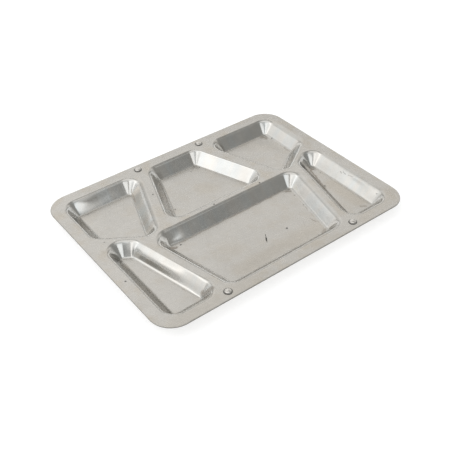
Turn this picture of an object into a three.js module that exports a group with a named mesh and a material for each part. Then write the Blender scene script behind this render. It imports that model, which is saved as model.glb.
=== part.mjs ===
// A six-compartment mess tray: one pressed stainless sheet with its edge turned under,
// and four round-headed stacking studs set through its deck.
// Millimetres, +Z up. The origin is under the middle of the tray, on the surface it stands on.
// X runs along the tray's long side, and +Y points to the row of three wells at the back.

import * as THREE from "three";

// Overall outline
const trayLength = 394;
const trayWidth = 296;
const outerCornerRadius = 31;

// Sheet, and the hem where its edge is turned under
const sheetThickness = 0.8;
const hemGap = 0.3;
const hemReturn = 6;

// Section that all six wells share
const wellDepth = 16.5;
const wallSlope = 49;
const deckBendRadius = 3.5;
const floorBendRadius = 2.5;
const floorCornerRadius = 2.5;

// Flat of the deck: the rim outside the wells, and the ribs between them
const rimWidth = 17;
const middleRibWidth = 7;
const middleRibCentre = 6;
const backRibWidth = 13.7;
const backRibLean = 20;
const frontRibWidth = 10;
const frontRibLean = 13.2;
const slantRibWidth = 4;
const slantRibAngle = 33.5;
const slantRibEnd = 43.7;

// Lengths of the outer wells along the rim, and where the corner wells stop in front
const cornerWellLength = 123;
const sideWellLength = 77.7;
const cornerWellFront = 6;

// Stacking studs
const studHeadDiameter = 9.6;
const studHeadHeight = 2.4;
const studShankDiameter = 5;
const studShankClearance = 0.3;
const studTailDiameter = 6.6;
const studTailHeight = 0.9;
const backStudSpacing = 106.6;
const frontStudSpacing = 202.4;

// Metal, as colour and how matt each finish is
const steelColour = 0xc4c1bb;
const sheetRoughness = 0.4;
const studRoughness = 0.25;

// Facets of the round stretches
const wellCornerSteps = 6;
const rimCornerSteps = 8;
const bendSteps = 2;
const hemSteps = 4;
const studSteps = 20;
const studDomeSteps = 5;

// Levels and reaches that follow from the sizes above
const slope = THREE.MathUtils.degToRad(wallSlope);
const floorTop = sheetThickness;
const deckTop = floorTop + wellDepth;
const deckUnderside = deckTop - sheetThickness;
const wallRun = (deckBendRadius + floorBendRadius) * Math.tan(slope / 2) + wellDepth / Math.tan(slope);
const deckReach = floorCornerRadius + wallRun;
const sideEdge = trayLength / 2 - rimWidth;
const backEdge = trayWidth / 2 - rimWidth;
const frontEdge = -backEdge;

// The metal of the tray and of its studs.
function steel(roughness) {
  return new THREE.MeshStandardMaterial({ color: steelColour, roughness, metalness: 1 });
}

// Sides of the wells on the flat of the deck

// A straight side through (x, y), heading in degrees from +X, with its well on the left.
function side(x, y, heading) {
  const angle = THREE.MathUtils.degToRad(heading);
  const inward = new THREE.Vector2(-Math.sin(angle), Math.cos(angle));
  return { inward, offset: inward.dot(new THREE.Vector2(x, y)) };
}

// The facing side of the next well, on the other side of a rib.
function acrossRib(nearSide, ribWidth) {
  return { inward: nearSide.inward.clone().negate(), offset: ribWidth - nearSide.offset };
}

// The same side on the other half of the tray.
function mirrored(oneSide) {
  return { inward: new THREE.Vector2(-oneSide.inward.x, oneSide.inward.y), offset: oneSide.offset };
}

// Corners of a convex outline that lie at least an inset inside one side.
function cutBySide(corners, oneSide, inset) {
  const kept = [];
  corners.forEach((corner, index) => {
    const next = corners[(index + 1) % corners.length];
    const depth = oneSide.inward.dot(corner) - oneSide.offset - inset;
    const nextDepth = oneSide.inward.dot(next) - oneSide.offset - inset;
    if (depth >= 0) {
      kept.push(corner);
    }
    if (depth * nextDepth < 0) {
      kept.push(corner.clone().lerp(next, depth / (depth - nextDepth)));
    }
  });
  return kept;
}

// A rectangle about the origin, as corners counted anticlockwise.
function rectangle(length, width) {
  const signs = [[1, 1], [-1, 1], [-1, -1], [1, -1]];
  return signs.map(([x, y]) => new THREE.Vector2((x * length) / 2, (y * width) / 2));
}

// The core of a well: the centres of its rounded corners, alike at every height.
function wellCore(sides) {
  const cut = (corners, oneSide) => cutBySide(corners, oneSide, deckReach);
  return sides.reduce(cut, rectangle(trayLength, trayWidth));
}

// The six cores: each well is the space inside its sides.
function wellCores() {
  const back = side(0, backEdge, 180);
  const front = side(0, frontEdge, 0);
  const outer = side(sideEdge, 0, 90);
  const cornerInner = side(sideEdge - cornerWellLength, backEdge, 270 + backRibLean);
  const cornerFront = side(0, cornerWellFront, 0);
  const cornerSlant = side(sideEdge, slantRibEnd, slantRibAngle);
  const middleFront = side(0, middleRibCentre + middleRibWidth / 2, 0);
  const middleSide = acrossRib(cornerInner, backRibWidth);
  const sideInner = side(sideEdge - sideWellLength, frontEdge, 270 - frontRibLean);
  const sideSlant = acrossRib(cornerSlant, slantRibWidth);
  const centreBack = acrossRib(middleFront, middleRibWidth);
  const centreSide = acrossRib(sideInner, frontRibWidth);
  const backRight = [back, cornerInner, cornerFront, cornerSlant, outer];
  const frontRight = [front, outer, sideSlant, sideInner];
  const wells = [
    backRight.map(mirrored),
    [back, mirrored(middleSide), middleFront, middleSide],
    backRight,
    frontRight.map(mirrored),
    [centreBack, mirrored(centreSide), front, centreSide],
    frontRight,
  ];
  return wells.map(wellCore);
}

// Rings of points in plan

// A core grown by a radius: straight sides, and an arc about each corner of the core.
function grownRing(core, radius, steps) {
  const ring = [];
  core.forEach((corner, index) => {
    const before = core[(index + core.length - 1) % core.length];
    const after = core[(index + 1) % core.length];
    const arriving = corner.clone().sub(before);
    const leaving = after.clone().sub(corner);
    const start = Math.atan2(-arriving.x, arriving.y);
    const turn = Math.atan2(arriving.cross(leaving), arriving.dot(leaving));
    for (let step = 0; step <= steps; step += 1) {
      const angle = start + (turn * step) / steps;
      ring.push(new THREE.Vector2(Math.cos(angle), Math.sin(angle)).multiplyScalar(radius).add(corner));
    }
  });
  return ring;
}

// A full circle about a centre.
function circleRing(centre, radius, steps) {
  const ring = [];
  for (let step = 0; step < steps; step += 1) {
    const angle = (2 * Math.PI * step) / steps;
    ring.push(new THREE.Vector2(Math.cos(angle), Math.sin(angle)).multiplyScalar(radius).add(centre));
  }
  return ring;
}

// A closed skin, gathered ring by ring
class Skin {
  constructor() {
    this.positions = [];
    this.triangles = [];
  }

  // Adds a ring of plan points at one height and returns its vertex numbers.
  addRing(points, height) {
    const first = this.positions.length / 3;
    points.forEach((point) => this.positions.push(point.x, point.y, height));
    return points.map((point, index) => first + index);
  }

  // Joins rings of equal count in order. Each band faces up where its second ring is the outer one.
  addBands(rings) {
    for (let level = 1; level < rings.length; level += 1) {
      const ring = rings[level - 1];
      const next = rings[level];
      ring.forEach((vertex, index) => {
        const following = (index + 1) % ring.length;
        this.triangles.push(vertex, next[index], next[following]);
        this.triangles.push(vertex, next[following], ring[following]);
      });
    }
  }

  // Fills the flat face inside a ring, around any holes in it.
  addFace(ring, holes, facesUp) {
    const plan = (vertex) => new THREE.Vector2(this.positions[3 * vertex], this.positions[3 * vertex + 1]);
    const vertices = [ring, ...holes].flat();
    const triangles = THREE.ShapeUtils.triangulateShape(ring.map(plan), holes.map((hole) => hole.map(plan)));
    const corners = triangles.map((triangle) => triangle.map((corner) => vertices[corner]));
    const turned = corners.reduce((sum, triangle) => sum + THREE.ShapeUtils.area(triangle.map(plan)), 0);
    corners.forEach(([a, b, c]) => {
      this.triangles.push(...(turned > 0 === facesUp ? [a, b, c] : [a, c, b]));
    });
  }

  geometry() {
    const geometry = new THREE.BufferGeometry();
    geometry.setAttribute("position", new THREE.Float32BufferAttribute(this.positions, 3));
    geometry.setIndex(this.triangles);
    geometry.computeVertexNormals();
    return geometry;
  }
}

// The pressing

// Section of a well's wall from floor to deck, as reach from the core and height.
// The skin lies at a depth below the sheet's top face, so 0 is the top and the thickness the underside.
function wallSection(depth) {
  const section = [];
  for (let step = 0; step <= bendSteps; step += 1) {
    const angle = (slope * step) / bendSteps;
    const radius = floorBendRadius + depth;
    const reach = floorCornerRadius + radius * Math.sin(angle);
    section.push({ reach, height: floorTop + floorBendRadius - radius * Math.cos(angle) });
  }
  for (let step = bendSteps; step >= 0; step -= 1) {
    const angle = (slope * step) / bendSteps;
    const radius = deckBendRadius - depth;
    const reach = deckReach - radius * Math.sin(angle);
    section.push({ reach, height: deckTop - deckBendRadius + radius * Math.cos(angle) });
  }
  return section;
}

// Section of the turned-under edge, from the deck's top face round to its underside.
function hemSection() {
  const outerRadius = sheetThickness + hemGap / 2;
  const innerRadius = hemGap / 2;
  const foldReach = outerCornerRadius - outerRadius;
  const returnReach = outerCornerRadius - hemReturn;
  const foldHeight = deckTop - outerRadius;
  const section = [];
  for (let step = 0; step <= hemSteps; step += 1) {
    const angle = Math.PI / 2 - (Math.PI * step) / hemSteps;
    const reach = foldReach + outerRadius * Math.cos(angle);
    section.push({ reach, height: foldHeight + outerRadius * Math.sin(angle) });
  }
  section.push({ reach: returnReach, height: foldHeight - outerRadius });
  section.push({ reach: returnReach, height: foldHeight - innerRadius });
  for (let step = 0; step <= hemSteps; step += 1) {
    const angle = -Math.PI / 2 + (Math.PI * step) / hemSteps;
    const reach = foldReach + innerRadius * Math.cos(angle);
    section.push({ reach, height: foldHeight + innerRadius * Math.sin(angle) });
  }
  return section;
}

// Middles of the studs: half-way between the rim's well edge and the end of the hem.
function studCentres() {
  const setback = (rimWidth - hemReturn) / 2;
  const backLine = backEdge + setback;
  const frontLine = frontEdge - setback;
  return {
    stacking_stud_back_left: new THREE.Vector2(-backStudSpacing / 2, backLine),
    stacking_stud_back_right: new THREE.Vector2(backStudSpacing / 2, backLine),
    stacking_stud_front_left: new THREE.Vector2(-frontStudSpacing / 2, frontLine),
    stacking_stud_front_right: new THREE.Vector2(frontStudSpacing / 2, frontLine),
  };
}

function trayPressing() {
  const skin = new Skin();
  const topHoles = [];
  const undersideHoles = [];
  wellCores().forEach((core) => {
    const rings = (depth) => wallSection(depth).map(({ reach, height }) => {
      return skin.addRing(grownRing(core, reach, wellCornerSteps), height);
    });
    const topRings = rings(0);
    const undersideRings = rings(sheetThickness).reverse();
    skin.addFace(topRings.at(0), [], true);
    skin.addFace(undersideRings.at(-1), [], false);
    skin.addBands(topRings);
    skin.addBands(undersideRings);
    topHoles.push(topRings.at(-1));
    undersideHoles.push(undersideRings.at(0));
  });
  Object.values(studCentres()).forEach((centre) => {
    const circle = circleRing(centre, studShankDiameter / 2 + studShankClearance, studSteps);
    const undersideRing = skin.addRing(circle, deckUnderside);
    const topRing = skin.addRing(circle, deckTop);
    skin.addBands([undersideRing, topRing]);
    topHoles.push(topRing);
    undersideHoles.push(undersideRing);
  });
  const rimCore = rectangle(trayLength - 2 * outerCornerRadius, trayWidth - 2 * outerCornerRadius);
  const rimRings = hemSection().map(({ reach, height }) => {
    return skin.addRing(grownRing(rimCore, reach, rimCornerSteps), height);
  });
  skin.addBands(rimRings);
  skin.addFace(rimRings.at(0), topHoles, true);
  skin.addFace(rimRings.at(-1), undersideHoles, false);
  const mesh = new THREE.Mesh(skin.geometry(), steel(sheetRoughness));
  mesh.name = "tray_pressing";
  return mesh;
}

// The studs

// A set stud, with its head's flat underside at the deck's top face.
function stackingStud(name, centre) {
  const headRadius = studHeadDiameter / 2;
  const shankRadius = studShankDiameter / 2;
  const tailRadius = studTailDiameter / 2;
  const tailEnd = -sheetThickness - studTailHeight;
  const profile = [
    new THREE.Vector2(0, tailEnd),
    new THREE.Vector2(tailRadius, tailEnd),
    new THREE.Vector2(tailRadius, -sheetThickness),
    new THREE.Vector2(shankRadius, -sheetThickness),
    new THREE.Vector2(shankRadius, 0),
  ];
  for (let step = 0; step < studDomeSteps; step += 1) {
    const angle = ((Math.PI / 2) * step) / studDomeSteps;
    profile.push(new THREE.Vector2(headRadius * Math.cos(angle), studHeadHeight * Math.sin(angle)));
  }
  profile.push(new THREE.Vector2(0, studHeadHeight));
  const geometry = new THREE.LatheGeometry(profile, studSteps);
  geometry.rotateX(Math.PI / 2);
  const mesh = new THREE.Mesh(geometry, steel(studRoughness));
  mesh.name = name;
  mesh.position.set(centre.x, centre.y, deckTop);
  return mesh;
}

const tray = new THREE.Group();
tray.add(trayPressing());
Object.entries(studCentres()).forEach(([name, centre]) => tray.add(stackingStud(name, centre)));

export default tray;
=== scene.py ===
import math

import bpy
import numpy as np
from mathutils import Matrix, Vector, noise
from mathutils.geometry import delaunay_2d_cdt


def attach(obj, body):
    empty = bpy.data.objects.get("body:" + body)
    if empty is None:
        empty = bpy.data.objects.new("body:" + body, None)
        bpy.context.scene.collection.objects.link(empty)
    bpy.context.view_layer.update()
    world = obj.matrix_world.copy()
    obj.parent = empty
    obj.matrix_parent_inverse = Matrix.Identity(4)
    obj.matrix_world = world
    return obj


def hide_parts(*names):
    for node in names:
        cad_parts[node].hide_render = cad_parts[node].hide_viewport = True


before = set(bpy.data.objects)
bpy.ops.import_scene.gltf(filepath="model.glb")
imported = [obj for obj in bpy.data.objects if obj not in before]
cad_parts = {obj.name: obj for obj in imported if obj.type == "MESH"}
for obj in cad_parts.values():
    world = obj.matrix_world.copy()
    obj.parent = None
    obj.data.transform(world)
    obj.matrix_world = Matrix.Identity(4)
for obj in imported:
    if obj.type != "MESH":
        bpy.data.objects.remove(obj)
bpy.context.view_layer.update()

# A six-compartment mess tray: one pressed stainless sheet and four stacking studs.
# Sizes are in millimetres until a mesh is made, and then in metres.

MM = 0.001

# Outline, sheet and turned-under edge
TRAY_LENGTH = 394
TRAY_WIDTH = 296
OUTER_CORNER = 31
SHEET = 0.8
HEM_GAP = 0.3
HEM_RETURN = 6
# How much the hem's cut edge is eased, across and in height
HEM_EASE = 0.25
HEM_EASE_HEIGHT = 0.15

# Section that the wells share
WELL_DEPTH = 16.5
WALL_SLOPE = math.radians(49)
DECK_BEND = 7
FLOOR_BEND = 3.5
FLOOR_CORNER = 2.5

# Edges of the wells: rims, ribs and lengths run to the line where a bend of this radius would start
LINE_BEND = 3.5
RIM = 17
MIDDLE_RIB = 7
MIDDLE_RIB_CENTRE = 6
BACK_RIB = 13.7
BACK_RIB_LEAN = 20
FRONT_RIB = 10
FRONT_RIB_LEAN = 13.2
SLANT_RIB = 4
SLANT_RIB_ANGLE = 33.5
SLANT_RIB_END = 43.7
CORNER_WELL_LENGTH = 123
SIDE_WELL_LENGTH = 77.7
CORNER_WELL_FRONT = 6

# Stacking studs
STUD_HEAD = 4.8
STUD_HEIGHT = 2.4
STUD_SHANK = 2.5
STUD_HOLE = 2.8
STUD_TAIL = 3.3
STUD_TAIL_HEIGHT = 0.9
STUD_FOOT_HEIGHT = 0.2
BACK_STUD_X = 53.3
FRONT_STUD_X = 101.2
# Powers of the cosine and sine that fill out the head's dome
DOME_WIDTH_POWER = 0.85
DOME_HEIGHT_POWER = 1.1

# Levels and reaches that follow
FLOOR_TOP = SHEET
DECK_TOP = FLOOR_TOP + WELL_DEPTH
BEND_SHARE = math.tan(WALL_SLOPE / 2)
WALL_RUN = (LINE_BEND + FLOOR_BEND) * BEND_SHARE + WELL_DEPTH / math.tan(WALL_SLOPE)
EDGE_REACH = FLOOR_CORNER + WALL_RUN
SIDE_EDGE = TRAY_LENGTH / 2 - RIM
BACK_EDGE = TRAY_WIDTH / 2 - RIM
STUD_Y = BACK_EDGE + (RIM - HEM_RETURN) / 2
HEM_RADIUS = SHEET + HEM_GAP / 2
FOLD_REACH = OUTER_CORNER - HEM_RADIUS

# How finely the mesh is cut
CORNER_STEPS = 18
RIM_CORNER_STEPS = 24
BEND_STEPS = 10
WALL_STEPS = 8
HEM_STEPS = 10
HOLE_SIDES = 32
STUD_SIDES = 56
DOME_STEPS = 14
SIDE_SPACING = 4
FILL_SPACING = 7
FILL_CLEARANCE = FILL_SPACING / 3
FLOOR_MARGINS = (0.3, 0.8)
DECK_MARGINS = (0.12, 0.3)
UNDER_MARGIN = 1
SLIVER = 0.1
WELD = 1e-5
# Edges that turn by more than these angles, in degrees, are shaded as sharp
SHEET_SHARP_ANGLE = 42
STUD_SHARP_ANGLE = 50

# How far the press and years of use have left the sheet from true,
# and how far in from its edge a floor takes to rise
DECK_WAVE = 0.16
FLOOR_RISE = 0.3
FLOOR_RISE_RUN = 22
WALL_BULGE = 0.3
# Wavelength and seed of the waves in the deck, the floors and the walls
LONG_DECK_WAVE = (62, 3.1)
SHORT_DECK_WAVE = (23, 8.7)
FLOOR_WAVE = (34, 5.3)
WALL_WAVE = (38, 1.9)
# Size of the short waves beside the long ones, unevenness of the floors' rise,
# and how much more the walls bulge into their wells than out of them
SHORT_WAVE_SHARE = 0.5
FLOOR_UNEVENNESS = 0.6
INWARD_LEAN = 0.5
# How far up a wall a bulge is at its fullest, from 0 at the floor to 1 at the deck
MID_WALL = 0.55
LOW_WALL = 0.27
HIGH_WALL = 0.65
# Stretches of wall pushed out of true: two ends, reach to either side,
# push into the well and where it is fullest
PUSHED_WALLS = (
    ((-123, -58), (-131, -8), 13, 0.9, MID_WALL),
    ((-127, -34), (-133, 0), 14, 0.5, MID_WALL),
    ((-98, 2.5), (-95, 2.5), 13, -0.9, LOW_WALL),
    ((-149, 131), (-147, 131), 14, 0.45, HIGH_WALL),
    ((-169, 131), (-166, 131), 13, -0.55, HIGH_WALL),
    ((177, -76), (177, -72), 14, -0.5, MID_WALL),
)
# Stretches with softer or crisper bends: two ends, reach to either side,
# and change of radius at the deck and at the floor
VARIED_BENDS = (
    ((42, 131), (86, 12), 8, -3.2, -0.5),
    ((177, 50), (177, 115), 12, 4, 3.3),
    ((177, -85), (177, -45), 14, 3, 2),
    ((92.6, -128.7), (123.3, 2.5), 6, 4, 3),
    ((130, 12.6), (160, 32.4), 7, 0, 2.5),
    ((-75, -131), (75, -131), 8, 4, 0),
    ((-160, -131), (-124, -131), 8, 3, 0),
    ((124, -131), (160, -131), 8, 3, 0),
    ((-57, 131), (-101.3, 9), 7, 4, 2),
    ((-114, -90), (-132, -5), 8, -2.5, 3.3),
    ((-92, -128), (-121, 2), 6, 4, 2),
    ((-177, -118), (-177, -8), 10, 0, 3),
    ((-177, 50), (-177, 115), 10, 0, 3),
    ((-42, 131), (-86, 12), 6, 0, 3),
)


# Sides and outlines of the wells

def side(x, y, heading):
    """A straight side through (x, y), heading in degrees from +X, with its well on the left."""
    angle = math.radians(heading)
    inward = np.array([-math.sin(angle), math.cos(angle)])
    return inward, inward @ np.array([x, y])


def across_rib(near, width):
    """The next well's side, across a rib of this width from a side."""
    return -near[0], width - near[1]


def mirrored(one):
    """The same side on the other half of the tray."""
    return one[0] * (-1, 1), one[1]


def cut_by_side(corners, one, inset):
    """The part of a convex outline that lies at least an inset inside one side."""
    kept = []
    for corner, following in zip(corners, corners[1:] + corners[:1]):
        depth = one[0] @ corner - one[1] - inset
        next_depth = one[0] @ following - one[1] - inset
        if depth >= 0:
            kept.append(corner)
        if depth * next_depth < 0:
            kept.append(corner + (following - corner) * depth / (depth - next_depth))
    return kept


def rectangle(length, width):
    signs = ((1, 1), (-1, 1), (-1, -1), (1, -1))
    return [np.array([x * length / 2, y * width / 2]) for x, y in signs]


def well_cores():
    """Each well's core: the polygon of the centres of its rounded corners."""
    back = side(0, BACK_EDGE, 180)
    front = side(0, -BACK_EDGE, 0)
    outer = side(SIDE_EDGE, 0, 90)
    corner_inner = side(SIDE_EDGE - CORNER_WELL_LENGTH, BACK_EDGE, 270 + BACK_RIB_LEAN)
    corner_front = side(0, CORNER_WELL_FRONT, 0)
    corner_slant = side(SIDE_EDGE, SLANT_RIB_END, SLANT_RIB_ANGLE)
    middle_front = side(0, MIDDLE_RIB_CENTRE + MIDDLE_RIB / 2, 0)
    middle_side = across_rib(corner_inner, BACK_RIB)
    side_inner = side(SIDE_EDGE - SIDE_WELL_LENGTH, -BACK_EDGE, 270 - FRONT_RIB_LEAN)
    side_slant = across_rib(corner_slant, SLANT_RIB)
    centre_back = across_rib(middle_front, MIDDLE_RIB)
    centre_side = across_rib(side_inner, FRONT_RIB)
    back_right = [back, corner_inner, corner_front, corner_slant, outer]
    front_right = [front, outer, side_slant, side_inner]
    # Left, middle and right wells of the back row, and then of the front row
    wells = [
        [mirrored(one) for one in back_right],
        [back, mirrored(middle_side), middle_front, middle_side],
        back_right,
        [mirrored(one) for one in front_right],
        [centre_back, mirrored(centre_side), front, centre_side],
        front_right,
    ]
    cores = []
    for sides in wells:
        core = rectangle(TRAY_LENGTH, TRAY_WIDTH)
        for one in sides:
            core = cut_by_side(core, one, EDGE_REACH)
        cores.append(core)
    return cores


def spokes(core, corner_steps, spacing):
    """Feet on a core's outline and unit directions out from it, round the whole outline."""
    feet, outward = [], []
    for before, corner, after in zip(core[-1:] + core[:-1], core, core[1:] + core[:1]):
        arriving, leaving = corner - before, after - corner
        start = math.atan2(-arriving[0], arriving[1])
        turn = math.atan2(arriving[0] * leaving[1] - arriving[1] * leaving[0], arriving @ leaving)
        for step in range(corner_steps + 1):
            angle = start + turn * step / corner_steps
            feet.append(corner)
            outward.append((math.cos(angle), math.sin(angle)))
        count = max(1, round(np.hypot(*leaving) / spacing))
        for step in range(1, count):
            feet.append(corner + leaving * step / count)
            outward.append(outward[-1])
    return np.array(feet), np.array(outward)


def circle(centre, radius, steps):
    angles = np.arange(steps) * 2 * math.pi / steps
    return np.array(centre) + radius * np.stack([np.cos(angles), np.sin(angles)], 1)


def inside(outline, points):
    """Which points lie inside a closed outline."""
    hit = np.zeros(len(points), bool)
    for a, b in zip(outline, np.roll(outline, -1, 0)):
        rises = (a[1] > points[:, 1]) != (b[1] > points[:, 1])
        run = a[0] + (b[0] - a[0]) * (points[:, 1] - a[1]) / (b[1] - a[1] if b[1] != a[1] else 1)
        hit ^= rises & (points[:, 0] < run)
    return hit


def gap_to(outline, points):
    """Least distance from each point to an outline."""
    best = np.full(len(points), 1e9)
    for a, b in zip(outline, np.roll(outline, -1, 0)):
        along = b - a
        share = np.clip((points - a) @ along / max(along @ along, 1e-12), 0, 1)
        best = np.minimum(best, np.hypot(*(points - a - share[:, None] * along).T))
    return best


def regions(faces, seams):
    """Groups of faces that meet across edges other than the seams."""
    barred = {frozenset(seam) for seam in seams}
    across = {}
    for number, face in enumerate(faces):
        for pair in map(frozenset, zip(face, face[1:] + face[:1])):
            if pair not in barred:
                across.setdefault(pair, []).append(number)
    meets = [[] for face in faces]
    for pair in across.values():
        for number in pair:
            meets[number].extend(pair)
    groups, reached = [], set()
    for start in range(len(faces)):
        if start not in reached:
            reached.add(start)
            group = [start]
            for number in group:
                fresh = set(meets[number]) - reached
                reached |= fresh
                group.extend(sorted(fresh))
            groups.append(group)
    return groups


# The pressed sheet, gathered ring by ring

# Marks that the material reads at each point, and marks that say how the sheet has settled there
SURFACE_MARKS = ("wall", "crease", "bend", "upper", "edge")
SETTLING_MARKS = ("level", "belly")
# How much of a bend the material sees on the deck beside a well and round the hem's fold
BESIDE_WELL_BEND = 0.1
HEM_BEND = 0.8
# How many rings to either side of the fold's middle its painted shade takes to fade
EDGE_SHADE_RINGS = 5


class Pressing:
    """Points, faces and what each point knows of its place on the tray."""

    def __init__(self):
        self.points = []
        self.faces = []
        self.marks = {name: [] for name in SURFACE_MARKS + SETTLING_MARKS}
        self.lines = []

    def add(self, plan, height, lines=None, **marks):
        """Adds plan points at a height and returns their numbers."""
        first = len(self.points)
        count = len(plan)
        self.points.extend((x, y, z) for (x, y), z in zip(plan, np.broadcast_to(height, count)))
        self.lines.extend(map(tuple, plan if lines is None else lines))
        for name, values in self.marks.items():
            values.extend(np.broadcast_to(marks.get(name, 0.0), count))
        return list(range(first, first + count))

    def band(self, rings):
        """Joins rings in order: a band faces up where its second ring is the outer one."""
        for ring, following in zip(rings, rings[1:]):
            turned = zip(ring, following, following[1:] + following[:1], ring[1:] + ring[:1])
            self.faces.extend(turned)

    def plan(self, ring):
        return np.array([self.points[number][:2] for number in ring])

    def fill(self, ring, holes, faces_up, rises=False, **marks):
        """Fills a flat stretch inside a ring and round its holes, over a grid of points."""
        loops = [self.plan(loop) for loop in [ring, *holes]]
        height = self.points[ring[0]][2]
        low, high = loops[0].min(0), loops[0].max(0)
        xs = np.arange(low[0] + FILL_SPACING / 2, high[0], FILL_SPACING)
        ys = np.arange(low[1] + FILL_SPACING / 2, high[1], FILL_SPACING)
        grid = np.array([(x, y) for y in ys for x in xs])
        keep = inside(loops[0], grid)
        for loop in loops[1:]:
            keep &= ~inside(loop, grid)
        for loop in loops:
            keep &= gap_to(loop, grid) > FILL_CLEARANCE
        grid = grid[keep]
        rise = np.clip(gap_to(loops[0], grid) / FLOOR_RISE_RUN, 0, 1) if rises else 0.0
        numbers = [number for loop in [ring, *holes] for number in loop]
        numbers += self.add(grid, height, belly=rise * rise * (3 - 2 * rise), **marks)
        edges, first = [], 0
        for loop in loops:
            count = len(loop)
            edges += [(first + k, first + (k + 1) % count) for k in range(count)]
            first += count
        plan = np.vstack([*loops, grid])
        made = delaunay_2d_cdt([Vector(point) for point in plan], edges, [], 0, WELD)
        triangles, sources = made[2:4]
        faces = [[sources[number][0] for number in face] for face in triangles]
        a, b, c = (plan[[face[k] for face in faces]] for k in range(3))
        spread = np.abs(np.cross(b - a, c - a))
        for group in regions(faces, edges):
            widest = max(group, key=lambda number: spread[number])
            middle = plan[faces[widest]].mean(0)[None]
            in_hole = any(inside(loop, middle)[0] for loop in loops[1:])
            if inside(loops[0], middle)[0] and not in_hole and spread[widest] > SLIVER:
                for number in group:
                    corners = [numbers[corner] for corner in faces[number]]
                    self.faces.append(corners if faces_up else corners[::-1])

    def mesh(self, name):
        points = settled(np.array(self.points), self.marks)
        mesh = bpy.data.meshes.new(name)
        mesh.from_pydata((points * MM).tolist(), [], self.faces)
        for mark in SURFACE_MARKS:
            mesh.attributes.new(mark, "FLOAT", "POINT").data.foreach_set("value", self.marks[mark])
        lines = np.zeros((len(points), 3))
        lines[:, :2] = np.array(self.lines) * MM
        draw_line = mesh.attributes.new("draw_line", "FLOAT_VECTOR", "POINT")
        draw_line.data.foreach_set("vector", lines.ravel())
        return mesh


def ripple(x, y, wavelength, seed):
    return noise.noise(Vector((x / wavelength, y / wavelength, seed)))


def settled(points, marks):
    """The sheet as use has left it: a slightly wavy deck, and floors that rise a little."""
    moved = points.copy()
    for number, (x, y) in enumerate(points[:, :2]):
        level = marks["level"][number]
        belly = marks["belly"][number]
        if level > 0:
            wave = ripple(x, y, *LONG_DECK_WAVE) + SHORT_WAVE_SHARE * ripple(x, y, *SHORT_DECK_WAVE)
            moved[number, 2] += level * DECK_WAVE * wave
        if belly > 0:
            uneven = 1 + FLOOR_UNEVENNESS * ripple(x, y, *FLOOR_WAVE)
            moved[number, 2] += belly * FLOOR_RISE * uneven
    return moved


def wall_section(depth, deck_bend, floor_bend):
    """A wall from floor to deck at each spoke: reach, height, and its wall, crease and bend marks."""
    floor_reach = FLOOR_CORNER - (floor_bend - FLOOR_BEND) * BEND_SHARE
    deck_reach = EDGE_REACH + (deck_bend - LINE_BEND) * BEND_SHARE
    section = []
    for step in range(BEND_STEPS + 1):
        angle = WALL_SLOPE * step / BEND_STEPS
        radius = floor_bend + depth
        height = FLOOR_TOP + floor_bend - radius * math.cos(angle)
        share = step / BEND_STEPS
        section.append((floor_reach + radius * math.sin(angle), height, share, 1 - 0.5 * share, 0))
    upper = []
    for step in range(BEND_STEPS, -1, -1):
        angle = WALL_SLOPE * step / BEND_STEPS
        radius = deck_bend - depth
        height = DECK_TOP - deck_bend + radius * math.cos(angle)
        upper.append((deck_reach - radius * math.sin(angle), height, step / BEND_STEPS, 0, 1))
    (low_reach, low_height), (high_reach, high_height) = section[-1][:2], upper[0][:2]
    # The crease mark is gone a sixth of the way up the wall,
    # and the bend mark sets in over its last quarter
    for step in range(1, WALL_STEPS):
        share = step / WALL_STEPS
        reach = low_reach + (high_reach - low_reach) * share
        height = low_height + (high_height - low_height) * share
        section.append((reach, height, 1, max(0, 0.5 - 3 * share), max(0, 4 * share - 3)))
    return section + upper


def stretches(table, places):
    """How near each place is to each stretch in a table, from 0 to 1, with the stretch's values."""
    for start, end, reach, *values in table:
        yield np.exp(-(gap_to(np.array([start, end]), places) / reach) ** 2), values


def bulge_shape(level, fullest):
    """A bulge's share of its push at each level: none at the floor and deck, all where it is fullest."""
    return np.sin(math.pi * level ** (math.log(0.5) / math.log(fullest))) ** 2


def add_well(sheet, core, depth, faces_up):
    """One well's skin, and its outermost ring on the flat of the deck."""
    feet, outward = spokes(core, CORNER_STEPS, SIDE_SPACING)
    lines = feet + outward * EDGE_REACH
    waves = np.array([ripple(x, y, *WALL_WAVE) + INWARD_LEAN for x, y in lines])
    bulges = [(WALL_BULGE * waves, MID_WALL)]
    bulges += [(push * near, fullest) for near, (push, fullest) in stretches(PUSHED_WALLS, lines)]
    deck_bend = np.full(len(feet), float(DECK_BEND))
    floor_bend = np.full(len(feet), float(FLOOR_BEND))
    for near, (deck_change, floor_change) in stretches(VARIED_BENDS, lines):
        deck_bend += deck_change * near
        floor_bend += floor_change * near
    section = wall_section(depth, deck_bend, floor_bend)
    floor_height, deck_height = FLOOR_TOP - depth, DECK_TOP - depth
    upper = 1.0 if faces_up else 0.0
    rings = []
    for margin in FLOOR_MARGINS[::-1]:
        plan = feet + outward * (section[0][0] - margin)[:, None]
        crease = 1 - margin / FLOOR_MARGINS[-1]
        rings.append(sheet.add(plan, floor_height, crease=crease, upper=upper))
    for reach, height, wall, crease, bend in section:
        level = np.clip((height - floor_height) / WELL_DEPTH, 0, 1)
        push = sum(bulge_shape(level, fullest) * bulge for bulge, fullest in bulges)
        plan = feet + outward * (reach - push * math.sin(WALL_SLOPE))[:, None]
        tall = height + push * math.cos(WALL_SLOPE)
        marks = {"wall": wall, "crease": crease, "bend": bend, "upper": upper, "level": level}
        rings.append(sheet.add(plan, tall, lines, **marks))
    for margin in DECK_MARGINS:
        plan = feet + outward * (section[-1][0] + margin)[:, None]
        rings.append(sheet.add(plan, deck_height, bend=BESIDE_WELL_BEND, upper=upper, level=1))
    sheet.band(rings if faces_up else rings[::-1])
    sheet.fill(rings[0], [], faces_up, upper=upper, rises=True)
    return rings[-1]


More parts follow.
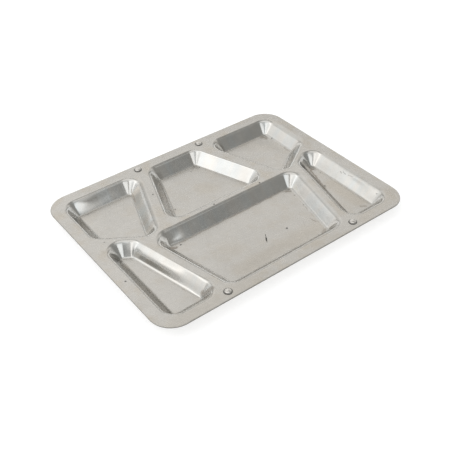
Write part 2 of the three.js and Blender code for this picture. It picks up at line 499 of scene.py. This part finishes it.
def hem_section():
    """The turned-under edge, from the deck's top face round to its underside."""
    fold_height = DECK_TOP - HEM_RADIUS
    inner = HEM_GAP / 2
    back = OUTER_CORNER - HEM_RETURN
    angles = [math.pi / 2 - math.pi * step / HEM_STEPS for step in range(HEM_STEPS + 1)]

    def round_fold(radius, turn):
        """Half a turn about the fold: down where the turn is 1, and up where it is -1."""
        return [(FOLD_REACH + radius * math.cos(angle), fold_height + radius * math.sin(turn * angle))
                for angle in angles]

    return [
        *((FOLD_REACH - margin, DECK_TOP) for margin in DECK_MARGINS[::-1]),
        *round_fold(HEM_RADIUS, 1),
        (back + HEM_EASE, fold_height - HEM_RADIUS),
        (back, fold_height - HEM_RADIUS + HEM_EASE_HEIGHT),
        (back, fold_height - inner - HEM_EASE_HEIGHT),
        (back + HEM_EASE, fold_height - inner),
        *round_fold(inner, -1),
        (back - UNDER_MARGIN, DECK_TOP - SHEET),
    ]


def stud_centres():
    return {
        "stacking_stud_back_left": (-BACK_STUD_X, STUD_Y),
        "stacking_stud_back_right": (BACK_STUD_X, STUD_Y),
        "stacking_stud_front_left": (-FRONT_STUD_X, -STUD_Y),
        "stacking_stud_front_right": (FRONT_STUD_X, -STUD_Y),
    }


def tray_sheet():
    sheet = Pressing()
    cores = well_cores()
    top_holes = [add_well(sheet, core, 0, True) for core in cores]
    under_holes = [add_well(sheet, core, SHEET, False) for core in cores]
    for centre in stud_centres().values():
        ring = circle(centre, STUD_HOLE, HOLE_SIDES)
        under = sheet.add(ring, DECK_TOP - SHEET, level=1)
        top = sheet.add(ring, DECK_TOP, upper=1, level=1)
        sheet.band([under, top])
        top_holes.append(top)
        under_holes.append(under)
    rim_core = rectangle(TRAY_LENGTH - 2 * OUTER_CORNER, TRAY_WIDTH - 2 * OUTER_CORNER)
    feet, outward = spokes(rim_core, RIM_CORNER_STEPS, SIDE_SPACING)
    fold_start = len(DECK_MARGINS)
    fold_middle = fold_start + HEM_STEPS / 2
    rings = []
    for number, (reach, height) in enumerate(hem_section()):
        upper = 1.0 if number < HEM_STEPS else 0.0
        bend = HEM_BEND if fold_start <= number < HEM_STEPS else 0.0
        # The edge mark is painted shade, strongest on the fold's outermost line and fading above and below
        # it
        edge = max(0.0, 1 - abs(number - fold_middle) / EDGE_SHADE_RINGS)
        plan = feet + outward * reach
        rings.append(sheet.add(plan, height, upper=upper, bend=bend, edge=edge, level=1))
    sheet.band(rings)
    sheet.fill(rings[0], top_holes, True, upper=1, level=1)
    sheet.fill(rings[-1], under_holes, False, level=1)
    return sheet.mesh("tray_sheet")


def turned_mesh(name, centre, profile, sides):
    """A round shape about an upright line, from its profile of radii and heights."""
    points, faces, rings = [], [], []
    for radius, height in profile:
        plan = [centre] if radius == 0 else circle(centre, radius, sides)
        rings.append(list(range(len(points), len(points) + len(plan))))
        points.extend((x * MM, y * MM, height * MM) for x, y in plan)
    for low, high in zip(rings, rings[1:]):
        for k in range(sides):
            following = (k + 1) % sides
            if len(low) == 1:
                faces.append((low[0], high[following], high[k]))
            elif len(high) == 1:
                faces.append((low[k], low[following], high[0]))
            else:
                faces.append((low[k], low[following], high[following], high[k]))
    mesh = bpy.data.meshes.new(name)
    mesh.from_pydata(points, [], faces)
    return mesh


def stud_mesh(name, centre):
    """A set stud: upset tail under the deck, shank, and a domed head with a rounded foot."""
    tail_end = -SHEET - STUD_TAIL_HEIGHT
    profile = [
        (0, tail_end), (STUD_TAIL * 0.55, tail_end + 0.02), (STUD_TAIL * 0.85, tail_end + 0.14),
        (STUD_TAIL * 0.97, tail_end + 0.36), (STUD_TAIL, -SHEET - 0.2), (STUD_TAIL * 0.96, -SHEET),
        (STUD_SHANK, -SHEET), (STUD_SHANK, 0),
        (STUD_HEAD - 0.18, 0), (STUD_HEAD - 0.05, 0.06), (STUD_HEAD, STUD_FOOT_HEIGHT),
    ]
    for step in range(1, DOME_STEPS):
        angle = math.pi / 2 * step / DOME_STEPS
        radius = STUD_HEAD * math.cos(angle) ** DOME_WIDTH_POWER
        lift = (STUD_HEIGHT - STUD_FOOT_HEIGHT) * math.sin(angle) ** DOME_HEIGHT_POWER
        profile.append((radius, STUD_FOOT_HEIGHT + lift))
    profile.append((0, STUD_HEIGHT))
    on_deck = [(radius, DECK_TOP + height) for radius, height in profile]
    return turned_mesh(name, centre, on_deck, STUD_SIDES)


# Materials: an expression on values adds Math nodes

class Flow:
    """A value on its way through a material."""

    def __init__(self, finish, socket):
        self.finish = finish
        self.socket = socket

    def maths(self, operation, *values):
        return self.finish.node("Math", {"operation": operation}, dict(enumerate(values)))

    def __add__(self, other):
        return self.maths("ADD", self, other)

    def __sub__(self, other):
        return self.maths("SUBTRACT", self, other)

    def __rsub__(self, other):
        return self.maths("SUBTRACT", other, self)

    def __mul__(self, other):
        return self.maths("MULTIPLY", self, other)

    __radd__ = __add__
    __rmul__ = __mul__

    def most(self, other):
        return self.maths("MAXIMUM", self, other)

    def least(self, other):
        return self.maths("MINIMUM", self, other)

    def size(self):
        return self.maths("ABSOLUTE", self)

    def wrapped(self, half):
        return self.maths("WRAP", self, half, -half)

    def ramp(self, low, high):
        """0 below low, 1 above high, and smooth between; falls where low is the larger."""
        settings = {"interpolation_type": "SMOOTHSTEP"}
        return self.finish.node("MapRange", settings, {"Value": self, "From Min": low, "From Max": high})


class Finish:
    """The nodes of one material, or of the world."""

    def __init__(self, owner):
        owner.use_nodes = True
        self.tree = owner.node_tree
        self.tree.nodes.clear()

    def node(self, kind, settings, sockets, output=0):
        """Adds a node, sets its settings and then its sockets, and gives one of its outputs."""
        made = self.tree.nodes.new("ShaderNode" + kind)
        for name, value in settings.items():
            setattr(made, name, value)
        for name, value in sockets.items():
            if isinstance(value, Flow):
                self.tree.links.new(value.socket, made.inputs[name])
            else:
                made.inputs[name].default_value = value
        return Flow(self, made.outputs[output]) if len(made.outputs) else None

    def vectors(self, operation, *values, output="Vector"):
        return self.node("VectorMath", {"operation": operation}, dict(enumerate(values)), output)

    def place(self):
        return self.node("TexCoord", {}, {}, "Object")

    def coordinate(self, where, axis):
        return self.node("SeparateXYZ", {}, {"Vector": where}, axis)

    def mark(self, name, output="Fac"):
        return self.node("Attribute", {"attribute_name": name}, {}, output)

    def stretched(self, where, scale, turn=0.0):
        """A place stretched by a scale after a turn about Z, in degrees."""
        sockets = {"Vector": where, "Angle": math.radians(turn)}
        turned = self.node("VectorRotate", {"rotation_type": "Z_AXIS"}, sockets)
        return self.vectors("MULTIPLY", turned, scale)

    def cloud(self, where, scale, detail=3.0, roughness=0.55):
        """Noise from 0 to 1, at a scale in cycles per metre."""
        sockets = {"Vector": where, "Scale": scale, "Detail": detail, "Roughness": roughness}
        return self.node("TexNoise", {}, sockets)

    def swing(self, *settings):
        """The same noise, from -0.5 to 0.5."""
        return self.cloud(*settings) - 0.5

    def blend(self, first, second, factor, mode="MIX"):
        """Two colours mixed by a factor: a Mix node has its colours in sockets 6 and 7, and out of 2."""
        settings = {"data_type": "RGBA", "blend_type": mode}
        return self.node("Mix", settings, {0: factor, 6: first, 7: second}, 2)

    def plan(self, where):
        """A place as seen from straight above."""
        return self.vectors("MULTIPLY", where, (1, 1, 0))

    def shaken(self, plan, scale, reach):
        """A place shifted by noise, up to about a reach in millimetres, so that marks get ragged edges."""
        # The noise seldom strays more than a quarter from its middle
        random = self.node("TexNoise", {}, {"Vector": plan, "Scale": scale, "Detail": 2.0}, "Color")
        shift = self.vectors("SUBTRACT", random, (0.5, 0.5, 0.5))
        spread = (reach * 4 * MM, reach * 4 * MM, 0)
        return self.vectors("MULTIPLY_ADD", shift, spread, plan)

    def spot(self, plan, x, y, radius, soft):
        """1 within a radius of a spot on the tray, in millimetres, and 0 past its soft edge."""
        gap = self.vectors("DISTANCE", plan, (x * MM, y * MM, 0), output="Value")
        return gap.ramp((radius + soft) * MM, radius * MM)

    def stroke(self, plan, x, y, end_x, end_y, width, soft):
        """1 within a width of a line on the tray, in millimetres, and 0 past its soft edge."""
        start = Vector((x, y, 0)) * MM
        along = Vector((end_x, end_y, 0)) * MM - start
        offset = self.vectors("SUBTRACT", plan, start)
        share = self.vectors("DOT_PRODUCT", offset, along / along.length_squared, output="Value")
        share = share.most(0.0).least(1.0)
        foot = self.node("VectorMath", {"operation": "SCALE"}, {0: along, "Scale": share})
        gap = self.vectors("DISTANCE", offset, foot, output="Value")
        return gap.ramp((width + soft) * MM, width * MM)

    def specks(self, plan, cells, size, share):
        """Scattered dots: cells per metre, a dot's size in millimetres, and how many cells have one."""
        sockets = {"Vector": plan, "Scale": cells}
        gap = self.node("TexVoronoi", {}, sockets, "Distance")
        random = self.node("TexVoronoi", {}, sockets, "Color")
        chance = self.node("SeparateColor", {}, {"Color": random}, "Red")
        size_in_cells = size * MM * cells
        return gap.ramp(size_in_cells * 1.6, size_in_cells * 0.5) * chance.ramp(share, share - 0.02)

    def output(self, shader):
        self.node("OutputMaterial", {}, {"Surface": shader})


# Colours of the steel, of what years of use have left on it, and of painted shade
STEEL = (0.596, 0.572, 0.538, 1)
STEEL_WARM = (0.54, 0.48, 0.398, 1)
STEEL_COOL = (0.55, 0.567, 0.565, 1)
STUD_BRIGHT = (0.68, 0.65, 0.61, 1)
BROWN_STAIN_AND_CREASE_SHADE = (0.2, 0.145, 0.092, 1)
PAINTED_WALL_SHADE = (0.2, 0.182, 0.145, 1)
DARK_MARKS_AND_SHADE = (0.045, 0.042, 0.037, 1)

# Marks of use along lines, in millimetres on the tray: two ends, half width, soft edge and strength; the
# long line at y -14.2, along the back crease of the middle front well, is painted crease shade instead
STAINS = (
    (-79, 113.5, -87, 92, 0.2, 1.2, 0.45), (-104, 25, -100, 29, 1.2, 3, 0.2),
    (154, 112, 157, 105, 1.0, 4, 0.35), (162, 68, 162, 55, 0.4, 2, 0.25),
    (92, -17, 95, -21, 0.5, 2, 0.45), (-102, -16, -95, -19, 0.8, 2.5, 0.55),
    (154, 5, 158, -3, 0.3, 2, 0.6), (158, 2, 153, -4, 0.3, 2, 0.55),
    (153, -2, 139, -46, 0.4, 2, 0.5), (78, -112, 72, -114, 0.8, 2.5, 0.3),
    (79, -92, 78, -84, 0.3, 1.2, 0.25), (149, -107, 155, -110, 0.6, 2, 0.3),
    (-60, 46, -64, 26, 0.4, 2, 0.3), (-88, -14.2, 90, -14.2, 0.4, 1.4, 0.3),
    (-119, -112, -113, -120, 1.0, 3.5, 0.45),
)
# Painted shade on stretches of wall, along lines as above: two ends, half width, soft edge and strength
WALL_SHADE_LINES = (
    (-170, -116, -170, -18, 6, 7, 0.31), (110, -122, 138, -8, 5, 6, 0.25),
    (-173, 55, -173, 112, 5, 6, 0.1), (-80, -129, 80, -129, 3, 3, 0.35),
    (-29, 118, -68, 14, 3, 4, 0.2), (-160, -129, -120, -129, 3, 3, 0.4),
    (125, -129, 160, -129, 3, 3, 0.3), (-170, -114, -163, -125, 4, 4, 0.4),
    (76, 123, 82, 118, 3, 4, 0.4), (-49, 122, -43, 118, 3, 4, 0.3),
    (-110, -122, -138, -8, 5, 6, 0.08), (170, -116, 170, -18, 6, 7, 0.05),
)
WARM_PATCHES = (
    (4, 60, 16, 56, 2, 20, 0.35), (-50, -62, -38, -70, 2, 20, 0.3),
    (-55, -104, 78, -102, 2, 20, 0.35), (152, -98, 156, -45, 4, 16, 0.45),
    (118, -140, 186, -122, 2, 14, 0.3), (-180, -138, -120, -140, 2, 14, 0.25),
    (120, 108, 150, 80, 2, 20, 0.2), (176, 44, 180, 34, 2, 8, 0.4),
    (-100, -138, -60, -140, 2, 14, 0.25),
)
# Specks: place and size
SPECKS = (
    (40, -79, 1.6), (95.6, -31.8, 0.8), (90.7, -55.5, 0.8), (-87.5, -19, 1.2), (160, -14.5, 0.8),
    (143, -42, 1.3), (-154.5, -116, 0.9), (-135, -117.6, 1.4), (-52, 46, 0.9), (-62, 29.5, 1.0),
    (31.5, 106, 1.2), (16, 105, 0.8), (-170, 29.5, 0.9), (-186, -48, 1.2), (-68, 74.5, 1.1),
    (-16, 5.2, 1.3), (62, 4.2, 1.4), (164, 98, 0.9), (174, -110, 0.7),
)
# Scratches, as lines again
SCRATCHES = (
    (10.5, -70.3, 1.6, -84.4, 0.1, 0.5, 1.0), (6.4, -76.8, 3.4, -81.2, 0.55, 0.7, 1.0),
    (175.4, -63, 174.6, -55, 0.05, 0.5, 0.3), (173.8, -51, 174.4, -45, 0.1, 0.5, 0.35),
    (172.6, -44, 173.1, -41, 0.1, 0.6, 0.35),
)
# Painted shade round a stud's foot: how far it reaches from the stud's middle, and its soft edge
STUD_SHADE_REACH = STUD_HEAD + 0.4
STUD_SHADE_EDGE = 1.0


def together(masks):
    """The strongest of several masks at each place."""
    whole = masks[0]
    for one in masks[1:]:
        whole = whole.most(one)
    return whole


def strokes(finish, plan, lines):
    return together([finish.stroke(plan, *line[:6]) * line[6] for line in lines])


def sheet_steel():
    """Rolled stainless sheet: satin flats, smoother drawn walls, the marks of years of use, and painted
    shade in the creases, on the walls, round the studs and round the hem's fold.
    """
    material = bpy.data.materials.new("sheet_steel")
    finish = Finish(material)
    where = finish.place()
    plan = finish.plan(where)
    frayed = finish.shaken(plan, 650, 0.5)
    smeared = finish.shaken(plan, 140, 1.6)
    blotted = finish.shaken(plan, 55, 5)
    wall = finish.mark("wall")
    crease = finish.mark("crease")
    bend = finish.mark("bend")
    upper = finish.mark("upper")
    edge = finish.mark("edge")
    line = finish.mark("draw_line", "Vector")
    flat = 1 - wall
    deck = finish.coordinate(where, "Z").ramp((DECK_TOP - 3) * MM, (DECK_TOP - 1) * MM)

    # Grain of the rolled sheet, hairline scratches, and lines drawn down the walls by the press
    broad = finish.swing(where, 26, 4)
    patchy = finish.swing(where, 130, 4, 0.62)
    fine = finish.swing(where, 400, 4, 0.75)
    smudged = finish.swing(where, 48, 3)
    rolled = finish.swing(finish.stretched(where, (30, 1300, 1), 4), 1, 3)
    rubbed = finish.swing(finish.stretched(where, (24, 750, 1), 58), 1, 3)
    hair_one = finish.cloud(finish.stretched(where, (9, 1100, 1), 24), 1, 2).ramp(0.64, 0.72)
    hair_two = finish.cloud(finish.stretched(where, (12, 900, 1), -63), 1, 2).ramp(0.65, 0.72)
    hairs = (hair_one + hair_two) * (patchy + 0.5).ramp(0.4, 0.6) * flat
    draw = finish.swing(line, 260, 4, 0.65)
    draw_broad = finish.cloud(line, 55, 3)

    # Painted shade in the creases and on the walls, stains, tarnish, specks, scratches, and painted shade
    # round the studs and the hem's fold
    # Painted brown shade along the floor creases, and patches of it a little further up
    seam = crease.ramp(0.7, 1.0) * (0.08 + 1.1 * patchy).most(0.0)
    corner = crease.ramp(0.2, 0.9) * finish.cloud(where, 38, 2).ramp(0.55, 0.7) * 0.12
    stain_and_crease_shade = together([seam, corner, strokes(finish, smeared, STAINS)]) * upper
    # Painted shade on stretches of the walls
    wall_shade = strokes(finish, plan, WALL_SHADE_LINES) * wall.ramp(0.05, 0.6) * upper
    warm = finish.cloud(where, 42, 3).ramp(0.45, 0.7) * (0.25 + 0.2 * deck)
    warm = warm.most(strokes(finish, blotted, WARM_PATCHES)) * flat * upper
    dots = together([finish.spot(frayed, x, y, size * 0.5, size) for x, y, size in SPECKS]) * 0.75
    dots = dots.most(finish.specks(frayed, 52, 0.5, 0.3) * 0.4 * flat)
    centres = stud_centres().values()
    # Painted shade on the deck under and round each stud's head
    studs = together([finish.spot(frayed, x, y, STUD_SHADE_REACH, STUD_SHADE_EDGE) for x, y in centres])
    cuts = strokes(finish, frayed, SCRATCHES)
    dark = together([dots, studs * 0.8, cuts]) * upper
    # Painted shade round the hem's fold
    dark = dark.most(edge * 0.75)

    # Colour, from the bare steel to the marks on it
    grain = 0.14 * broad + 0.22 * patchy + (0.17 + 0.12 * deck) * fine + 0.16 * rolled + 0.14 * rubbed
    tone = 1 + grain * (1 - 0.65 * wall)
    tone = tone - 0.08 * hairs + wall * (0.24 * smudged + 0.06 * draw)
    colour = finish.blend(STEEL, STEEL_WARM, warm)
    colour = finish.blend(colour, STEEL_COOL, wall * draw_broad.ramp(0.35, 0.7) * 0.7)
    grey = finish.node("CombineColor", {}, {"Red": tone, "Green": tone, "Blue": tone})
    colour = finish.blend(colour, grey, 1.0, "MULTIPLY")
    # Painted wall shade, then stains with painted crease shade, then specks, scratches and painted shade
    # round the studs and the hem's fold
    colour = finish.blend(colour, PAINTED_WALL_SHADE, wall_shade)
    colour = finish.blend(colour, BROWN_STAIN_AND_CREASE_SHADE, stain_and_crease_shade)
    colour = finish.blend(colour, DARK_MARKS_AND_SHADE, dark)

    # Roughness, relief in millimetres, and how much of the surface is bare metal
    rough = 0.26 + 0.12 * patchy + 0.08 * fine + 0.08 * hairs + 0.25 * stain_and_crease_shade + 0.2 * dark
    rough = rough - wall * (0.1 - 0.05 * draw) - 0.02 * bend * flat
    height = (0.003 * rolled + 0.006 * patchy + 0.0012 * fine) * flat - 0.003 * hairs - 0.05 * cuts
    height = height + wall * (0.0006 * draw + 0.006 * patchy)
    normal = finish.node("Bump", {}, {"Strength": 1.0, "Distance": MM, "Height": height})
    metal = (1 - 0.7 * stain_and_crease_shade - 0.9 * dark).most(0.0)
    shader = finish.node("BsdfPrincipled", {}, {
        "Base Color": colour, "Metallic": metal, "Roughness": rough, "Normal": normal})
    finish.output(shader)
    return material


def stud_steel():
    """Bright turned steel, with painted shade in the ring round its foot."""
    material = bpy.data.materials.new("stud_steel")
    finish = Finish(material)
    where = finish.place()
    height = finish.coordinate(where, "Z")
    worn = finish.swing(where, 900, 3)
    # Painted shade over the lower part of the head, down to the deck
    below_crown = height.ramp((DECK_TOP + 1.9) * MM, (DECK_TOP + 0.8) * MM)
    above_deck = height.ramp((DECK_TOP - 1) * MM, DECK_TOP * MM)
    foot_shade = (below_crown * above_deck * (0.85 + 0.8 * worn)).least(1.0)
    colour = finish.blend(STUD_BRIGHT, DARK_MARKS_AND_SHADE, foot_shade * 0.85)
    normal = finish.node("Bump", {}, {"Strength": 1.0, "Distance": MM, "Height": 0.012 * worn})
    shader = finish.node("BsdfPrincipled", {}, {
        "Base Color": colour, "Metallic": 1 - 0.7 * foot_shade, "Roughness": 0.2 + 0.15 * worn + 0.25 * foot_shade,
        "Normal": normal})
    finish.output(shader)
    return material


def dress(mesh, material, sharp_angle=None):
    """An object of a mesh, with its material and its shading."""
    mesh.materials.append(material)
    mesh.shade_smooth()
    if sharp_angle is not None:
        mesh.set_sharp_from_angle(angle=math.radians(sharp_angle))
    piece = bpy.data.objects.new(mesh.name, mesh)
    bpy.context.scene.collection.objects.link(piece)
    return piece


# The tray and its studs

sheet = dress(tray_sheet(), sheet_steel(), SHEET_SHARP_ANGLE)
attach(sheet, "root")
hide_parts("tray_pressing")

stud_finish = stud_steel()
for node, centre in stud_centres().items():
    stud = dress(stud_mesh(node.replace("stacking_", ""), centre), stud_finish, STUD_SHARP_ANGLE)
    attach(stud, "root")
    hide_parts(node)


# Studio: a pale floor that sweeps up all round, in a dim room with soft boxes

FLOOR_PALE = (0.55, 0.55, 0.55, 1)
FLOOR_GLOW = (0.62, 0.62, 0.62, 1)
SWEEP_PALE = (0.9, 0.9, 0.9, 1)
SWEEP_GLOW = (0.2, 0.2, 0.2, 1)
BACK_GLOW = (0.42, 0.42, 0.42, 1)
ROOM_LIGHT = (0.356, 0.361, 0.351)
# How much redder or bluer the light of a warm or a cool soft box is
TINT = 0.03

# Floor: radii of its level rings, and the sweep at its end
FLOOR_RINGS = (20, 40, 60, 80, 100, 200, 400, 600, 800, 1000, 1200, 1400, 1600, 1800, 2000)
FLOOR_SIDES = 96
SWEEP_RADIUS = 800
SWEEP_STEPS = 12
SWEEP_TOP = 1000
# Where the floor's tone passes to the sweep's, and the sweep's to that of its back, in metres
FAR_FADE = (1.2, 2.0)
BACK_FADE = (0.8, 2.0)


def floor_mesh():
    """The floor from the top of its sweep in to its middle."""
    profile = [(FLOOR_RINGS[-1] + SWEEP_RADIUS, SWEEP_TOP)]
    for step in range(SWEEP_STEPS, 0, -1):
        angle = math.pi / 2 * step / SWEEP_STEPS
        reach = FLOOR_RINGS[-1] + SWEEP_RADIUS * math.sin(angle)
        profile.append((reach, SWEEP_RADIUS - SWEEP_RADIUS * math.cos(angle)))
    profile += [(radius, 0) for radius in FLOOR_RINGS[::-1]]
    profile.append((0, 0))
    return turned_mesh("floor", (0, 0), profile, FLOOR_SIDES)


def pale_floor():
    """A matt floor that glows to the eye and in reflections, and is clear from below."""
    material = bpy.data.materials.new("pale_floor")
    finish = Finish(material)
    rays = ("Is Camera Ray", "Is Glossy Ray", "Is Transmission Ray")
    seen = together([finish.node("LightPath", {}, {}, ray) for ray in rays])
    where = finish.place()
    far = finish.vectors("LENGTH", where, output="Value").ramp(*FAR_FADE)
    behind = finish.coordinate(where, "Y").ramp(*BACK_FADE)
    matt = finish.node("BsdfDiffuse", {}, {"Color": finish.blend(FLOOR_PALE, SWEEP_PALE, far)})
    lit = finish.blend(SWEEP_GLOW, BACK_GLOW, behind)
    glow = finish.node("Emission", {}, {"Color": finish.blend(FLOOR_GLOW, lit, far)})
    bright = finish.node("AddShader", {}, {0: matt, 1: glow})
    facing = finish.node("MixShader", {}, {0: seen, 1: matt, 2: bright})
    below = finish.node("NewGeometry", {}, {}, "Backfacing")
    clear = finish.node("BsdfTransparent", {}, {})
    finish.output(finish.node("MixShader", {}, {0: below, 1: facing, 2: clear}))
    return material


# Soft boxes: azimuth, elevation, width, height and fade in degrees, and then level and warmth
SOFT_BOXES = {
    "ceiling": (0, 80, 370, 20, 5, 0.8, 0),
    "back_screen": (105, 40, 105, 40, 5, 0.28, 0),
    "back_high": (75, 50, 45, 20, 5, 0.36, 0),
    "back_right_band": (57, 35.5, 45, 11, 5, 0.28, 0),
    "back_right_low": (55, 23, 50, 10, 5, 0.15, 0),
    "back_left_band": (112.5, 35, 90, 10, 5, 0.14, 0),
    "back_left_low": (129, 25, 33, 30, 5, 0.49, 0),
    "back_left_high": (130, 57, 60, 24, 5, 0.42, 0),
    "left_screen": (184, 50, 84, 40, 4, 0.6, -0.6),
    "left_front": (212.5, 44, 25, 26, 3, 0.6, -0.3),
    "left_high": (165, 55, 75, 30, 5, 0.5, -0.3),
    "left_window": (163, 30, 19, 20, 5, 0.86, 0),
    "front_box": (266, 40, 53, 20, 2, 1.1, -1),
    "front_high": (270, 60, 105, 20, 5, 0.4, -1),
    "right_screen": (22.5, 40, 60, 20, 5, 0.44, 0.5),
    "right_low": (352.5, 20, 30, 40, 5, 0.26, 0.5),
}


def studio_light():
    """The dim room with the soft boxes in it, as the world's own light."""
    world = bpy.data.worlds.new("studio_light")
    bpy.context.scene.world = world
    finish = Finish(world)
    way = finish.node("TexCoord", {}, {}, "Generated")
    x, y, z = (finish.coordinate(way, axis) for axis in "XYZ")
    azimuth = y.maths("ARCTAN2", y, x) * math.degrees(1)
    elevation = z.maths("ARCSINE", z) * math.degrees(1)
    red, green, blue = ROOM_LIGHT
    for turn, lift, wide, tall, fade, strength, warmth in SOFT_BOXES.values():
        aside = (azimuth - turn).wrapped(180).size().ramp(wide / 2 + fade, wide / 2 - fade)
        above = (elevation - lift).size().ramp(tall / 2 + fade, tall / 2 - fade)
        box = aside * above
        red = red + box * (strength * (1 + TINT * warmth))
        green = green + box * strength
        blue = blue + box * (strength * (1 - TINT * warmth))
    colour = finish.node("CombineColor", {}, {"Red": red, "Green": green, "Blue": blue})
    finish.node("OutputWorld", {}, {"Surface": finish.node("Background", {}, {"Color": colour})})


floor = dress(floor_mesh(), pale_floor())
studio_light()


# Camera: its lens in millimetres, and its place and aim in metres

LENS = 57.433
CAMERA_PLACE = Vector((-0.45302, -0.61041, 0.60781))
CAMERA_AIM = Vector((-0.030915, -0.038552, 0.0173))
CAMERA_ROLL = math.radians(1.441)


def add_camera():
    camera = bpy.data.objects.new("camera", bpy.data.cameras.new("camera"))
    camera.data.lens = LENS
    level = (CAMERA_AIM - CAMERA_PLACE).to_track_quat("-Z", "Y").to_matrix()
    turned = level @ Matrix.Rotation(-CAMERA_ROLL, 3, "Z")
    camera.matrix_world = Matrix.Translation(CAMERA_PLACE) @ turned.to_4x4()
    bpy.context.scene.collection.objects.link(camera)
    bpy.context.scene.camera = camera


add_camera()
bpy.context.scene.view_settings.view_transform = "Standard"
